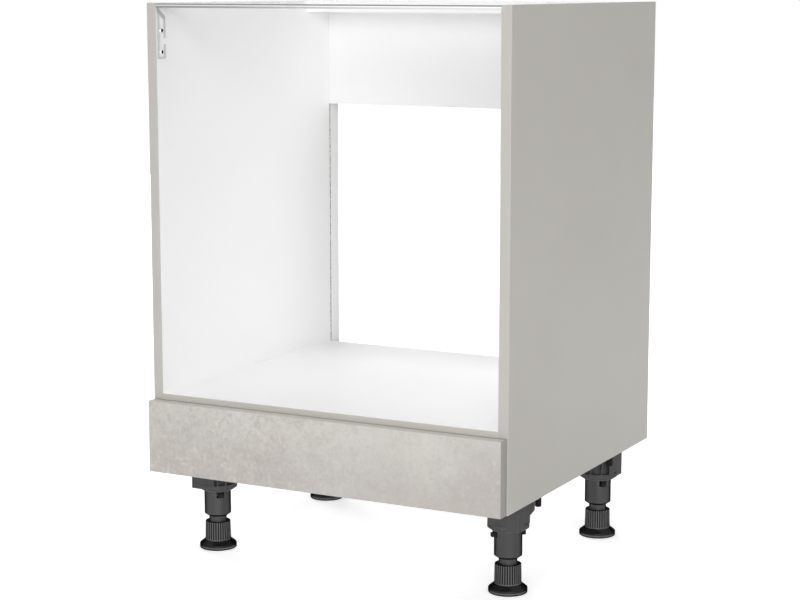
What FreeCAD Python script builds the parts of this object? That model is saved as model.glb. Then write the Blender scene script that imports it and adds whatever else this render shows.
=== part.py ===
"""Oven base cabinet: a carcass of coated boards that stands on four levelling legs.

The niche for the oven lies between the shelf and the rails at the top, and is open at the front and
at the back. A fixed front panel closes the space between the shelf and the bottom panel.

Millimetres. The origin is on the floor under the middle of the cabinet, front panel included.
X runs across the width to the right, Y from the front to the back, Z up.
"""
import FreeCAD, Part
import os

from FreeCAD import Vector

# Carcass
cabinet_width = 600.0
side_height = 714.0
side_depth = 550.0
board = 16.0
edge_band = 0.8
band_radius = 0.5
edge_break = 0.3
leg_height = 145.0
shelf_top = 120.0
shelf_back_gap = 1.0

# Front panel under the shelf, and the angle brackets behind it
front_thickness = 19.0
front_lap = 7.0
front_reveal = 2.0
angle_leg = 20.0
angle_width = 24.0
angle_sheet = 1.5
angle_spacing = 400.0
angle_screw_inset = 8.0

# Rear rail and back strip
rear_rail_depth = 75.0
rear_rail_thickness = 19.0
back_thickness = 3.0
back_height = 177.0
back_inset = 28.0
back_end_play = 0.5
back_screw_count = 3
back_screw_inset = 64.0
groove_depth = 8.0
groove_play = 0.2

# Steel front rail and its end tabs
rail_sheet = 1.2
rail_depth = 30.0
rail_lip = 6.0
rail_setback = 0.4
rail_drop = 1.0
rail_end_gap = 0.3
tab_foot = 18.0
tab_neck = 2.5
tab_depth = 21.5
tab_slope = 13.0
tab_height = 81.0
tab_corner = 2.0
tab_notch = 3.0
tab_screw_spacing = 32.0
tab_screw_rise = 10.0
tab_screw_inset = 10.5

# Holes for the screws that hold a worktop
worktop_hole = 5.0
worktop_hole_spacing = 320.0

# Wooden dowels
dowel_diameter = 8.0
dowel_play = 0.1
dowel_in_side = 11.0
dowel_in_end = 24.0
dowel_end_play = 0.5
shelf_dowel_count = 3
shelf_dowel_inset = 60.0
rail_dowel_count = 2
rail_dowel_inset = 20.0

# Chipboard screws
screw_diameter = 3.5
screw_length = 14.0
screw_head_diameter = 8.0
screw_head_height = 2.2
screw_head_round = 1.2
screw_hole_play = 0.3
pilot_play = 0.1
pilot_end_play = 0.6
recess_span = 4.6
recess_width = 1.0
recess_depth = 1.3

# Levelling legs
leg_inset_side = 46.0
leg_inset_front = 103.0
leg_inset_rear = 99.0

# Leg tube
tube_diameter = 42.0
tube_wall = 3.0
tube_chamfer_height = 4.0
tube_end_wall = 1.4
thread_length = 26.0

# Leg socket
plate_width = 80.0
plate_thickness = 4.0
plate_corner = 8.0
plate_screw_inset = 7.0
plate_screw_shift = 45.0
peg_inset = 7.0
peg_diameter = 9.5
peg_height = 15.5
peg_chamfer = 1.0
socket_height = 50.0
socket_play = 0.2
sleeve_wall = 2.5
collar_wall = 10.0
collar_height = 11.0
collar_cone_width = 6.5
collar_cone_height = 4.5
corner_reach = 29.5
corner_lift = 4.0
corner_round = 1.5
wall_thickness = 2.5
long_wall = 49.5
short_wall = 41.5
rib_thickness = 2.2
rib_flare_inset = 1.0
rib_flare_edge = 18.0
rib_flare_height = 27.0
rib_angles = (-57.0, 123.0, 147.0, 180.0, 225.0, 270.0)
tongue_angles = (-45.0, 135.0)
tongue_width = 7.0
tongue_thickness = 2.2
head_drop = 2.4
head_thickness = 5.2
hook_depth = 1.6
window_width = 12.0
window_height = 9.5
window_drop = 1.0
window_play = 0.9

# Adjuster
spindle_diameter = 27.6
spindle_play = 0.3
spindle_length = 50.0
neck_gap = 9.0
grip_height = 30.5
grip_top_diameter = 39.6
grip_base_diameter = 41.6
grip_ledge = 2.0
grip_edge = 0.8
flute_count = 32
flute_radius = 1.3
flute_depth = 0.8
pivot_diameter = 12.0
pivot_length = 10.0
pivot_play = 0.3
pivot_end_play = 1.0

# Foot pad
pad_diameter = 58.5
pad_height = 13.0
pad_rim = 7.2
pad_rim_round = 2.0
pad_top_diameter = 44.0

# Places worked out from the sizes above
side_bottom = leg_height
side_top = side_bottom + side_height
outer_x = cabinet_width / 2
inner_x = outer_x - board
front_y = -(side_depth + front_thickness) / 2
carcass_y = front_y + front_thickness
rear_y = carcass_y + side_depth
back_face_y = rear_y - back_inset - back_thickness
board_end_y = back_face_y - shelf_back_gap
shelf_z = side_bottom + shelf_top
front_top = shelf_z - board + front_lap
screw_hole_radius = screw_diameter / 2 + screw_hole_play
pilot_radius = screw_diameter / 2 + pilot_play
tube_radius = tube_diameter / 2
spindle_radius = spindle_diameter / 2
thread_radius = spindle_radius + spindle_play
rail_top = side_top - rail_drop
rail_web_z = rail_top - rail_sheet
rail_low = rail_top - rail_lip
rail_y = carcass_y + rail_setback
tab_y = rail_y + rail_sheet
worktop_rail_y = rail_y + rail_depth / 2
rear_rail_y = back_face_y - rear_rail_depth
leg_x = outer_x - leg_inset_side
leg_front_y = carcass_y + leg_inset_front
leg_rear_y = rear_y - leg_inset_rear
pad_top_z = pad_height - leg_height
grip_top_z = pad_top_z + grip_height
tube_end_z = grip_top_z + neck_gap

UP = Vector(0, 0, 1)
DOWN = Vector(0, 0, -1)
ORIGIN = Vector(0, 0, 0)

# Each leg: its place, and the turn that points the socket's square corner at the cabinet's corner
LEGS = {
    "rear_right": (Vector(leg_x, leg_rear_y, side_bottom), 0.0),
    "rear_left": (Vector(-leg_x, leg_rear_y, side_bottom), 90.0),
    "front_left": (Vector(-leg_x, leg_front_y, side_bottom), 180.0),
    "front_right": (Vector(leg_x, leg_front_y, side_bottom), 270.0),
}


def box(low, high):
    """A block from its lowest corner to its highest."""
    size = [top - bottom for bottom, top in zip(low, high)]
    return Part.makeBox(*size, Vector(*low))


def prism(points, travel):
    """A flat outline, given by its corners, carried along a straight travel."""
    corners = [Vector(*point) for point in points]
    outline = Part.makePolygon(corners + corners[:1])
    return Part.Face(outline).extrude(travel)


def turned(points):
    """A profile of (radius, z) corners, turned once round the Z axis."""
    corners = [Vector(radius, 0, z) for radius, z in points]
    outline = Part.makePolygon(corners + corners[:1])
    return Part.Face(outline).revolve(ORIGIN, UP, 360)


def spread(count, low, high):
    """Evenly spaced places from low to high, ends included."""
    step = (high - low) / max(count - 1, 1)
    return [low + step * index for index in range(count)]


def soften(shape, radius, keep_sharp):
    """Rounds the edges of a block, apart from those that lie in the plane Y = keep_sharp."""
    edges = [
        edge for edge in shape.Edges
        if any(abs(vertex.Y - keep_sharp) > radius for vertex in edge.Vertexes)
    ]
    return shape.makeFillet(radius, edges)


def mirrored(shape):
    """The same piece on the other side of the cabinet's middle plane."""
    return shape.mirror(ORIGIN, Vector(1, 0, 0))


def pair(spacing):
    """Two places, the given distance apart, about the middle."""
    return -spacing / 2, spacing / 2


def placed(shape, place, rotation):
    """A copy of a piece made at the origin, turned and then set at a place."""
    copy = shape.copy()
    copy.Placement = FreeCAD.Placement(place, rotation)
    return copy


def aimed(shape, place, direction):
    """A copy of a piece made about +Z, put at a place with its +Z along a direction."""
    return placed(shape, place, FreeCAD.Rotation(UP, direction))


def screw():
    """Pan-head chipboard screw: the head's seat is at the origin, the head above it, the shank below."""
    head = Part.makeCylinder(screw_head_diameter / 2, screw_head_height)
    rim = [edge for edge in head.Edges if edge.Closed and edge.Vertexes[0].Z > screw_head_height / 2]
    head = head.makeFillet(screw_head_round, rim)
    shank = Part.makeCylinder(screw_diameter / 2, screw_length, ORIGIN, DOWN)
    recess_floor = screw_head_height - recess_depth
    slot = box(
        (-recess_span / 2, -recess_width / 2, recess_floor),
        (recess_span / 2, recess_width / 2, screw_head_height + recess_depth),
    )
    crossing = slot.copy()
    crossing.rotate(ORIGIN, UP, 90)
    return head.fuse(shank).removeSplitter().cut([slot, crossing])


def pilot(seat, direction, cover):
    """Hole that a screw cuts in the board behind a cover of the given thickness."""
    depth = screw_length - cover + pilot_end_play
    return Part.makeCylinder(pilot_radius, depth, seat - direction * cover, direction * -1)


def screw_hole(seat, direction, cover):
    """Clearance hole through the cover under a screw's head."""
    return Part.makeCylinder(screw_hole_radius, cover, seat, direction * -1)


def worktop_holes(row_y, bottom, top):
    """The two upright holes of one row, through a rail from its bottom to its top."""
    return [
        Part.makeCylinder(worktop_hole / 2, top - bottom, Vector(x, row_y, bottom))
        for x in pair(worktop_hole_spacing)
    ]


def tab_screw_seats():
    """Places of the left tab's screw heads, on the face that looks into the niche."""
    low = rail_web_z - tab_height + tab_screw_rise
    x = -inner_x + rail_sheet
    return [Vector(x, tab_y + tab_screw_inset, z) for z in (low, low + tab_screw_spacing)]


def angle_screw_seats():
    """Seat, and direction of the head, of each screw in the brackets behind the front panel."""
    along = angle_leg - angle_screw_inset
    seats = []
    for x in pair(angle_spacing):
        for floor, rise in ((side_bottom + board, UP), (shelf_z - board, DOWN)):
            corner = Vector(x, carcass_y, floor)
            seats.append((corner + Vector(0, along, 0) + rise * angle_sheet, rise))
            seats.append((corner + Vector(0, angle_sheet, 0) + rise * along, Vector(0, 1, 0)))
    return seats


def back_screw_seats():
    """Places of the screw heads on the rear face of the back strip, level with the rear rail."""
    z = side_top - rear_rail_thickness / 2
    y = back_face_y + back_thickness
    reach = inner_x - back_screw_inset
    return [Vector(x, y, z) for x in spread(back_screw_count, -reach, reach)]


def plate_screw_places():
    """Places of the screws on a socket's plate, about the leg's axis, under the plate."""
    far = -plate_width / 2 + plate_screw_inset
    near = far + plate_screw_shift
    return [Vector(x, y, -plate_thickness) for x, y in ((far, far), (far, near), (near, far))]


def socket_screw_seats():
    """Places of all the socket screws, under the cabinet."""
    return [
        FreeCAD.Placement(place, FreeCAD.Rotation(UP, turn)).multVec(seat)
        for place, turn in LEGS.values()
        for seat in plate_screw_places()
    ]


def dowel_places(count, low, high, z):
    """Points on the inner face of the left side where a board's dowels cross it."""
    return [Vector(-inner_x, y, z) for y in spread(count, low, high)]


def shelf_dowel_places(middle_z):
    """Dowel places of a board as deep as the shelf."""
    return dowel_places(
        shelf_dowel_count, carcass_y + shelf_dowel_inset, board_end_y - shelf_dowel_inset, middle_z
    )


def all_dowel_places():
    """Dowel places on the left side, by the board that they carry."""
    rail_z = side_top - rear_rail_thickness / 2
    return {
        "shelf_dowels": shelf_dowel_places(shelf_z - board / 2),
        "bottom_dowels": shelf_dowel_places(side_bottom + board / 2),
        "rear_rail_dowels": dowel_places(
            rail_dowel_count, rear_rail_y + rail_dowel_inset, back_face_y - rail_dowel_inset, rail_z
        ),
    }


def dowel_rod(place, radius, trim):
    """A rod across the inner face of the left side, shortened by trim at each end."""
    start = place - Vector(dowel_in_side - trim, 0, 0)
    return Part.makeCylinder(radius, dowel_in_side + dowel_in_end - 2 * trim, start, Vector(1, 0, 0))


def both_sides(shapes):
    """Pieces of the left side, with their like on the right."""
    return shapes + [mirrored(shape) for shape in shapes]


def dowels(places):
    """A board's dowels at both of its ends."""
    radius = dowel_diameter / 2 - dowel_play
    return Part.makeCompound(both_sides([dowel_rod(place, radius, dowel_end_play) for place in places]))


def dowel_bores(places):
    """The bores of those dowels, in the board and in the sides."""
    return both_sides([dowel_rod(place, dowel_diameter / 2, 0) for place in places])


def left_side_panel():
    """Left side: an upright board with the back's groove, the dowel bores and the tab's screw holes."""
    front = carcass_y + edge_band
    panel = soften(
        box((-outer_x, front, side_bottom), (-inner_x, rear_y, side_top)), edge_break, front
    )
    groove = box(
        (-inner_x - groove_depth, back_face_y - groove_play, side_bottom),
        (-inner_x, back_face_y + back_thickness + groove_play, side_top),
    )
    bores = [
        dowel_rod(place, dowel_diameter / 2, 0)
        for group in all_dowel_places().values()
        for place in group
    ]
    holes = [pilot(seat, Vector(1, 0, 0), rail_sheet) for seat in tab_screw_seats()]
    return panel.cut([groove] + bores + holes)


def side_edge_band():
    """Band on the front edge of the left side."""
    band = box((-outer_x, carcass_y, side_bottom), (-inner_x, carcass_y + edge_band, side_top))
    return rounded_front(band, carcass_y)


def rounded_front(shape, face_y):
    """Rounds the edges of a band's front face."""
    edges = [
        edge for edge in shape.Edges
        if all(abs(vertex.Y - face_y) < band_radius / 2 for vertex in edge.Vertexes)
    ]
    return shape.makeFillet(band_radius, edges)


def oven_shelf():
    """Shelf that carries the oven, between the sides."""
    front = carcass_y + edge_band
    shelf = box((-inner_x, front, shelf_z - board), (inner_x, board_end_y, shelf_z))
    pilots = [pilot(seat, aim, angle_sheet) for seat, aim in angle_screw_seats() if aim == DOWN]
    return shelf.cut(dowel_bores(all_dowel_places()["shelf_dowels"]) + pilots)


def shelf_edge_band():
    """Band on the front edge of the shelf, level with the bands of the sides."""
    band = box((-inner_x, carcass_y, shelf_z - board), (inner_x, carcass_y + edge_band, shelf_z))
    return rounded_front(band, carcass_y)


def bottom_panel():
    """Bottom panel, level with the lower edges of the sides; it carries the leg sockets."""
    panel = box((-inner_x, carcass_y, side_bottom), (inner_x, board_end_y, side_bottom + board))
    pilots = [pilot(seat, aim, angle_sheet) for seat, aim in angle_screw_seats() if aim == UP]
    pilots += [pilot(seat, DOWN, plate_thickness) for seat in socket_screw_seats()]
    return panel.cut(dowel_bores(all_dowel_places()["bottom_dowels"]) + pilots)


def rear_rail():
    """Board that lies flat between the sides at the top, in front of the back strip."""
    low = side_top - rear_rail_thickness
    rail = box((-inner_x, rear_rail_y, low), (inner_x, back_face_y, side_top))
    holes = worktop_holes(rear_rail_y + rear_rail_depth / 2, low, side_top)
    pilots = [pilot(seat, Vector(0, 1, 0), back_thickness) for seat in back_screw_seats()]
    return rail.cut(dowel_bores(all_dowel_places()["rear_rail_dowels"]) + holes + pilots)


def back_strip():
    """Thin strip that closes the upper part of the back, its ends in the grooves of the sides."""
    reach = inner_x + groove_depth - back_end_play
    strip = box(
        (-reach, back_face_y, side_top - back_height), (reach, back_face_y + back_thickness, side_top)
    )
    holes = [screw_hole(seat, Vector(0, 1, 0), back_thickness) for seat in back_screw_seats()]
    return strip.cut(holes)


def front_rail():
    """Folded steel rail between the sides: a flat web with a lip turned down along each long edge."""
    reach = inner_x - rail_end_gap
    inner_y = rail_y + rail_depth - rail_sheet
    section = (
        (-reach, rail_y, rail_low), (-reach, rail_y, rail_top),
        (-reach, rail_y + rail_depth, rail_top), (-reach, rail_y + rail_depth, rail_low),
        (-reach, inner_y, rail_low), (-reach, inner_y, rail_web_z),
        (-reach, tab_y, rail_web_z), (-reach, tab_y, rail_low),
    )
    rail = prism(section, Vector(2 * reach, 0, 0))
    return rail.cut(worktop_holes(worktop_rail_y, rail_web_z, rail_top))


def left_rail_tab():
    """Steel tab at the rail's left end: a sloped plate on the side, and a foot behind the front lip."""
    low = rail_web_z - tab_height
    outline = (
        (-inner_x, tab_y, low), (-inner_x, tab_y + tab_depth, low),
        (-inner_x, tab_y + tab_depth, rail_low - tab_slope), (-inner_x, tab_y + tab_neck, rail_low),
        (-inner_x, tab_y + tab_neck, rail_web_z), (-inner_x, tab_y, rail_web_z),
    )
    plate = prism(outline, Vector(rail_sheet, 0, 0))
    corners = [
        edge for edge in plate.Edges
        if all(abs(vertex.Z - low) < tab_corner for vertex in edge.Vertexes)
        and abs(edge.Vertexes[0].X - edge.Vertexes[-1].X) > rail_sheet / 2
    ]
    plate = plate.makeFillet(tab_corner, corners)
    foot = box(
        (-inner_x, tab_y, rail_low), (-inner_x + tab_foot, tab_y + rail_sheet, rail_web_z)
    )
    seats = tab_screw_seats()
    notch_z = (seats[0].z + seats[1].z) / 2
    notch_start = Vector(-inner_x, tab_y + tab_depth, notch_z)
    notch = Part.makeCylinder(tab_notch, rail_sheet, notch_start, Vector(1, 0, 0))
    holes = [screw_hole(seat, Vector(1, 0, 0), rail_sheet) for seat in seats]
    return plate.fuse(foot).removeSplitter().cut(holes + [notch])


def front_panel():
    """Core of the front panel, with the screw holes of its brackets in the back."""
    reach = outer_x - front_reveal - edge_band
    core = box(
        (-reach, front_y, side_bottom + edge_band), (reach, carcass_y, front_top - edge_band)
    )
    pilots = [
        pilot(seat, aim, angle_sheet) for seat, aim in angle_screw_seats() if aim == Vector(0, 1, 0)
    ]
    return core.cut(pilots)


def front_long_bands():
    """Bands on the upper and the lower edge of the front panel."""
    reach = outer_x - front_reveal - edge_band
    upper = box((-reach, front_y, front_top - edge_band), (reach, carcass_y, front_top))
    lower = box((-reach, front_y, side_bottom), (reach, carcass_y, side_bottom + edge_band))
    return Part.makeCompound([upper, lower])


def front_end_bands():
    """Bands on the two ends of the front panel, over the ends of the long bands."""
    reach = outer_x - front_reveal
    band = box((-reach, front_y, side_bottom), (-reach + edge_band, carcass_y, front_top))
    outer = [
        edge for edge in band.Edges
        if all(abs(vertex.X + reach) < band_radius / 2 for vertex in edge.Vertexes)
    ]
    band = band.makeFillet(band_radius, outer)
    return Part.makeCompound([band, mirrored(band)])


def front_panel_brackets():
    """Four steel angles behind the front panel: two on the bottom panel, two under the shelf."""
    half = angle_width / 2
    shapes = []
    for x in pair(angle_spacing):
        for floor, rise in ((side_bottom + board, 1), (shelf_z - board, -1)):
            section = (
                (x - half, carcass_y, floor),
                (x - half, carcass_y + angle_leg, floor),
                (x - half, carcass_y + angle_leg, floor + rise * angle_sheet),
                (x - half, carcass_y + angle_sheet, floor + rise * angle_sheet),
                (x - half, carcass_y + angle_sheet, floor + rise * angle_leg),
                (x - half, carcass_y, floor + rise * angle_leg),
            )
            shapes.append(prism(section, Vector(angle_width, 0, 0)))
    holes = [screw_hole(seat, aim, angle_sheet) for seat, aim in angle_screw_seats()]
    return Part.makeCompound([shape.cut(holes) for shape in shapes])


def radial_block(inner, outer, width, low, high, angle):
    """A block that stands across a radius of the leg, from one radius to another."""
    block = box((inner, -width / 2, low), (outer, width / 2, high))
    block.rotate(ORIGIN, UP, angle)
    return block


def socket_rib(angle):
    """A fin between the sleeve, the collar and the plate, flared towards the plate."""
    inner = tube_radius + socket_play + sleeve_wall / 2
    outer = tube_radius + socket_play + collar_wall
    flare = plate_width / 2 - rib_flare_inset
    low = -(socket_height - collar_height)
    flare_low = -plate_thickness - rib_flare_edge
    outline = (
        (inner, -rib_thickness / 2, low), (outer, -rib_thickness / 2, low),
        (outer, -rib_thickness / 2, -plate_thickness - rib_flare_height),
        (flare, -rib_thickness / 2, flare_low), (flare, -rib_thickness / 2, -plate_thickness),
        (inner, -rib_thickness / 2, -plate_thickness),
    )
    rib = prism(outline, Vector(0, rib_thickness, 0))
    rib.rotate(ORIGIN, UP, angle)
    return rib


def socket_collar():
    """Ring round the lower end of the sleeve, with a conical underside."""
    outer = tube_radius + socket_play + collar_wall
    low = -socket_height
    high = low + collar_height
    return turned((
        (0, low), (outer - collar_cone_width, low), (outer, low + collar_cone_height),
        (outer, high), (0, high),
    ))


def socket_corner():
    """Square corner of the housing, with a long wall and a short wall that run on from it."""
    low = -socket_height + corner_lift
    corner = box((0, 0, low), (corner_reach, corner_reach, 0))
    outer_edge = [
        edge for edge in corner.Edges
        if all(vertex.X > corner_reach / 2 and vertex.Y > corner_reach / 2 for vertex in edge.Vertexes)
    ]
    corner = corner.makeFillet(corner_round, outer_edge)
    wall_low = -socket_height + collar_height
    inside = corner_reach - wall_thickness
    middle = corner_reach / 2
    along_y = box((inside, corner_reach - long_wall, wall_low), (corner_reach, middle, 0))
    along_x = box((corner_reach - short_wall, inside, wall_low), (middle, corner_reach, 0))
    return [corner, along_y, along_x]


def socket_pegs():
    """Pegs under the plate's two corners beside the square one."""
    place = plate_width / 2 - peg_inset
    low = -plate_thickness - peg_height
    radius = peg_diameter / 2
    peg = turned((
        (0, low), (radius - peg_chamfer, low), (radius, low + peg_chamfer), (radius, 0), (0, 0),
    ))
    return [peg.translated(Vector(place, -place, 0)), peg.translated(Vector(-place, place, 0))]


def leg_socket():
    """Socket under Z = 0: plate, pegs, sleeve, collar, square corner, ribs and two snap tongues."""
    half = plate_width / 2
    plate = box((-half, -half, -plate_thickness), (half, half, 0))
    uprights = [
        edge for edge in plate.Edges
        if abs(edge.Vertexes[0].Z - edge.Vertexes[-1].Z) > plate_thickness / 2
    ]
    plate = plate.makeFillet(plate_corner, uprights)
    bore_radius = tube_radius + socket_play
    sleeve = Part.makeCylinder(bore_radius + sleeve_wall, socket_height, ORIGIN, DOWN)
    ribs = [socket_rib(angle) for angle in rib_angles]
    body = plate.fuse([sleeve, socket_collar()] + socket_corner() + socket_pegs() + ribs).removeSplitter()
    depth = socket_height - plate_thickness
    bore = Part.makeCylinder(bore_radius, depth, Vector(0, 0, -plate_thickness), DOWN)
    holes = [screw_hole(seat, DOWN, plate_thickness) for seat in plate_screw_places()]
    body = body.cut([bore] + holes)
    return body.fuse([part for angle in tongue_angles for part in snap_tongue(angle)]).removeSplitter()


def window_span():
    """Lower and upper end of the tube's windows."""
    high = -socket_height - window_drop
    return high - window_height, high


def snap_tongue(angle):
    """A tongue that hangs from the collar, with a thick head and a hook in the tube's window."""
    window_low, window_high = window_span()
    low = window_low + window_play
    head_high = window_high - head_drop
    inner = tube_radius + 2 * socket_play
    top = -socket_height + collar_height / 2
    tongue = radial_block(inner, inner + tongue_thickness, tongue_width, low, top, angle)
    head = radial_block(inner, inner + head_thickness, tongue_width, low, head_high, angle)
    hook = radial_block(
        tube_radius - hook_depth, inner + tongue_thickness / 2, tongue_width, low, head_high, angle
    )
    return tongue, head, hook


def leg_tube():
    """Tube pushed into the socket, with a threaded lower end and two windows for the hooks."""
    top = -plate_thickness
    thread_top = tube_end_z + thread_length
    inner = tube_radius - tube_wall
    tube = turned((
        (thread_radius, tube_end_z), (thread_radius + tube_end_wall, tube_end_z),
        (tube_radius, tube_end_z + tube_chamfer_height), (tube_radius, top),
        (inner, top), (inner, thread_top), (thread_radius, thread_top),
    ))
    low, high = window_span()
    windows = [
        radial_block(inner - window_play, tube_radius + window_play, window_width, low, high, angle)
        for angle in tongue_angles
    ]
    return tube.cut(windows)


def leg_adjuster():
    """Spindle and fluted grip in one piece, with a blind bore for the pad's pivot."""
    top = grip_top_z
    base = pad_top_z
    grip_top = grip_top_diameter / 2
    grip_base = grip_base_diameter / 2
    body = turned((
        (0, base), (grip_base, base), (grip_base, base + grip_ledge),
        (grip_top, top - grip_edge), (grip_top - grip_edge, top),
        (spindle_radius, top), (spindle_radius, top + spindle_length - grip_edge),
        (spindle_radius - grip_edge, top + spindle_length), (0, top + spindle_length),
    ))
    rise = grip_height - grip_ledge
    lean = grip_base - grip_top
    offset = flute_radius - flute_depth
    axis = Vector(-lean, 0, rise).normalize()
    start = Vector(grip_base + offset, 0, base + grip_ledge)
    flute = Part.makeCylinder(flute_radius, 2 * rise, start, axis)
    flutes = []
    for index in range(flute_count):
        groove = flute.copy()
        groove.rotate(ORIGIN, UP, 360.0 * index / flute_count)
        flutes.append(groove)
    bore = Part.makeCylinder(
        pivot_diameter / 2 + pivot_play, pivot_length + pivot_end_play, Vector(0, 0, base)
    )
    return body.cut(flutes + [bore])


def foot_pad():
    """Round pad on the floor, with the pivot that the adjuster turns on."""
    floor = -leg_height
    rim = pad_diameter / 2
    pad = turned((
        (0, floor), (rim - pad_rim_round, floor), (rim, floor + pad_rim_round), (rim, floor + pad_rim),
        (pad_top_diameter / 2, pad_top_z), (pivot_diameter / 2, pad_top_z),
        (pivot_diameter / 2, pad_top_z + pivot_length), (0, pad_top_z + pivot_length),
    ))
    return pad


def leg_pieces():
    """The four legs: the same four pieces, set under each corner of the cabinet."""
    pieces = {
        "leg_socket": leg_socket(), "leg_tube": leg_tube(),
        "leg_adjuster": leg_adjuster(), "foot_pad": foot_pad(),
    }
    return {
        f"{corner}_{name}": placed(shape, place, FreeCAD.Rotation(UP, turn))
        for corner, (place, turn) in LEGS.items()
        for name, shape in pieces.items()
    }


def screws():
    """All the screws, grouped by what they hold."""
    one = screw()
    tab_screws = [aimed(one, seat, Vector(1, 0, 0)) for seat in tab_screw_seats()]
    groups = {
        "rail_tab_screws": both_sides(tab_screws),
        "front_panel_screws": [aimed(one, seat, aim) for seat, aim in angle_screw_seats()],
        "back_strip_screws": [aimed(one, seat, Vector(0, 1, 0)) for seat in back_screw_seats()],
        "leg_socket_screws": [aimed(one, seat, DOWN) for seat in socket_screw_seats()],
    }
    return {name: Part.makeCompound(group) for name, group in groups.items()}


def carcass():
    """The boards, the bands, the rails and what hangs on them."""
    side = left_side_panel()
    band = side_edge_band()
    tab = left_rail_tab()
    return {
        "left_side_panel": side,
        "right_side_panel": mirrored(side),
        "left_side_edge_band": band,
        "right_side_edge_band": mirrored(band),
        "oven_shelf": oven_shelf(),
        "shelf_edge_band": shelf_edge_band(),
        "bottom_panel": bottom_panel(),
        "rear_rail": rear_rail(),
        "back_strip": back_strip(),
        "front_rail": front_rail(),
        "left_rail_tab": tab,
        "right_rail_tab": mirrored(tab),
        "front_panel": front_panel(),
        "front_panel_long_bands": front_long_bands(),
        "front_panel_end_bands": front_end_bands(),
        "front_panel_brackets": front_panel_brackets(),
    }


def main():
    """Builds every piece and writes each one to its own file."""
    pieces = carcass()
    pieces.update({name: dowels(places) for name, places in all_dowel_places().items()})
    pieces.update(screws())
    pieces.update(leg_pieces())
    os.makedirs("parts", exist_ok=True)
    for name, shape in pieces.items():
        shape.exportStep(f"parts/{name}.step")


main()
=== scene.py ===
"""Finishes, fittings and studio for the oven base cabinet.

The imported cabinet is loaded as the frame. Its boards, bands, sheet steel, dowels, sockets and tubes keep
their solids and get their finishes here. Screws, adjusters and foot pads are turned anew as fine surfaces.
Metres, in the cabinet's own frame: X to the right, Y from the front to the back, Z up from the floor.
"""
import math

import bpy
import numpy as np
from bpy.props import FloatProperty, FloatVectorProperty, IntProperty, PointerProperty
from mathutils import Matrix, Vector


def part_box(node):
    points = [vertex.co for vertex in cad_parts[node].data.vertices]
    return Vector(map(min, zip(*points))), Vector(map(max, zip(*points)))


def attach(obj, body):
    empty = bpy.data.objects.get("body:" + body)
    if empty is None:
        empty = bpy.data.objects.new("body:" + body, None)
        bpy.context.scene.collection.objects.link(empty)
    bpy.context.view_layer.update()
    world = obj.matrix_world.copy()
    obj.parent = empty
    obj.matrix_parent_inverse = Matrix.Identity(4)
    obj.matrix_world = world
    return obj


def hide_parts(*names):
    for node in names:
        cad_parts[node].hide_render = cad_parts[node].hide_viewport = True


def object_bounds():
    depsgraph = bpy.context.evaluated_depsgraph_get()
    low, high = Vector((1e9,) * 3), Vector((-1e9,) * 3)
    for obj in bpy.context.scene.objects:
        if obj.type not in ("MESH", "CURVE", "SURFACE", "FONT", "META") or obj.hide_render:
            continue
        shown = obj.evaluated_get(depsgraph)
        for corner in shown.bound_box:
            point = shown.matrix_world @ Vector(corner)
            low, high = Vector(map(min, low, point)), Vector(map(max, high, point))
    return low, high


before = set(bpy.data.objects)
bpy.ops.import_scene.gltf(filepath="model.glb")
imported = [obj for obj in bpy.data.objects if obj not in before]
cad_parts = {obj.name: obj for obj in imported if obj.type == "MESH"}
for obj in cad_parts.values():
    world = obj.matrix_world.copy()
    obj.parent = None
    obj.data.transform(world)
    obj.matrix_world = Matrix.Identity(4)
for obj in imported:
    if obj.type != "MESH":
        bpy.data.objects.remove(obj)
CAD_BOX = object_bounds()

bl_info = {
    "name": "Oven base cabinet",
    "version": (1, 0, 0),
    "blender": (4, 5, 0),
    "location": "View3D > Sidebar > Oven cabinet",
    "description": "Dresses the oven base cabinet with its finishes, feet and studio",
    "category": "Object",
}

CABINET = "cabinet"
CORNERS = ("front_left", "front_right", "rear_left", "rear_right")
FULL_TURN = 2 * math.pi
WHITE = (1.0, 1.0, 1.0, 1.0)

# How far from a face's plane a point still counts as lying on it.
SKIN = 0.00012
# Columns round each turned piece.
ADJUSTER_COLUMNS, PAD_COLUMNS, SCREW_COLUMNS = 256, 128, 48
# Sizes of the solids that more than one function needs: the sockets' plates and the tabs' screws.
SOCKET_PLATE = 0.004
TAB_SCREW_FIRST, TAB_SCREW_PITCH = 0.010, 0.032


def colour(name, description, *screen):
    """A colour setting, given as it shows on screen, 0 to 255 per channel."""
    return FloatVectorProperty(
        name=name, description=description, subtype="COLOR_GAMMA", size=3, min=0.0, max=1.0,
        default=[value / 255 for value in screen],
    )


def length(name, description, default):
    """A length setting in metres."""
    return FloatProperty(
        name=name, description=description, default=default, min=0.0, subtype="DISTANCE", unit="LENGTH",
        precision=5,
    )


def bearing(name, description, degrees):
    """An angle setting, given in degrees."""
    return FloatProperty(
        name=name, description=description, default=math.radians(degrees), subtype="ANGLE", unit="ROTATION",
    )


def lamp_power(name, description, default):
    """A lamp's power in watts."""
    return FloatProperty(name=name, description=description, default=default, min=0.0, unit="POWER")


def portion(name, description, default):
    """A setting from 0 to 1."""
    return FloatProperty(
        name=name, description=description, default=default, min=0.0, max=1.0, subtype="FACTOR",
    )


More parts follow.
